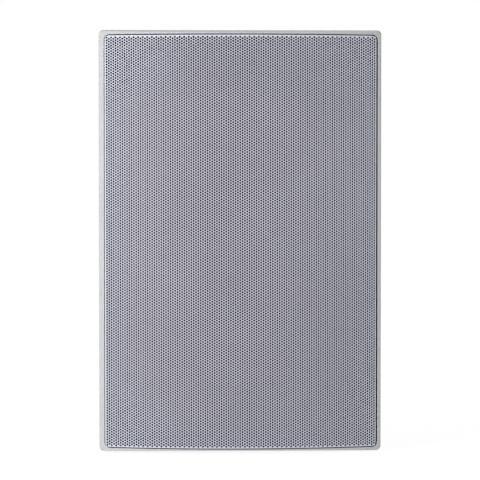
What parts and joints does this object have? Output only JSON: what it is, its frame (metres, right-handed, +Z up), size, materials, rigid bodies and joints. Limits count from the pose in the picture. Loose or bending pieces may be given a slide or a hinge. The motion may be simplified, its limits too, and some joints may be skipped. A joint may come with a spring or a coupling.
{
  "type": "intercom door speaker",
  "caption": "Upright wall loudspeaker of a door intercom: tapered housing with a bowed perforated grille, a sprung cone driver and a screw-fixed rear box with a cable entry.",
  "frame": {"origin": "middle of the rear box's flat face, which lies on the wall", "axes": "+X to the right seen from the front, +Y into the wall, +Z up"},
  "size_m": [0.19, 0.0959, 0.2832],
  "materials": {
    "grille_paint": "satin powder coat",
    "housing": "fine texture",
    "box": "fine texture",
    "seal": "matte foam rubber",
    "scrim": "woven cloth",
    "pressed_steel": "black paint",
    "plated_steel": "zinc plate",
    "ferrite": "sintered",
    "pulp": "pressed pulp",
    "pad": "loose fibre",
    "roll": "matte",
    "doped_cloth": "resin cloth",
    "former": "foil",
    "copper": "enamelled wire",
    "board": "laminate",
    "tin": "tinned",
    "core_steel": "stacked sheets",
    "bobbin": "moulded",
    "block": "moulded",
    "wire_red": "wire sleeve",
    "wire_black": "wire sleeve"
  },
  "bodies": {
    "enclosure": {"rear_box": "box", "cable_grommet": "seal", "housing_seal": "seal", "front_housing": "housing", "grille": "grille_paint", "dust_scrim": "scrim", "driver_seal": "seal", "driver_basket": "pressed_steel", "front_plate": "plated_steel", "ring_magnet": "ferrite", "pole_yoke": "plated_steel", "surround": "roll", "front_ring": "pulp", "spider": "doped_cloth", "tag_board": "board", "tag_lugs": "tin", "transformer_core": "core_steel", "transformer_bobbin": "bobbin", "transformer_winding": "copper", "transformer_strap": "plated_steel", "terminal_block": "block", "terminal_screws": "plated_steel", "driver_leads": "wire_red", "line_leads": "wire_black", "wadding_pad": "pad", "housing_screws": "plated_steel", "driver_screws": "plated_steel", "transformer_screws": "plated_steel", "block_screws": "plated_steel"},
    "diaphragm": {"speaker_cone": "pulp", "dust_cap": "pulp", "coil_former": "former", "coil_winding": "copper"}
  },
  "joints": [
    {"name": "cone_travel", "type": "slide", "parent": "enclosure", "child": "diaphragm", "axis": [0, -1, 0], "range_m": [-0.0025, 0.0025], "stiffness_N_per_m": 1500, "deforming": ["surround", "spider"]}
  ]
}
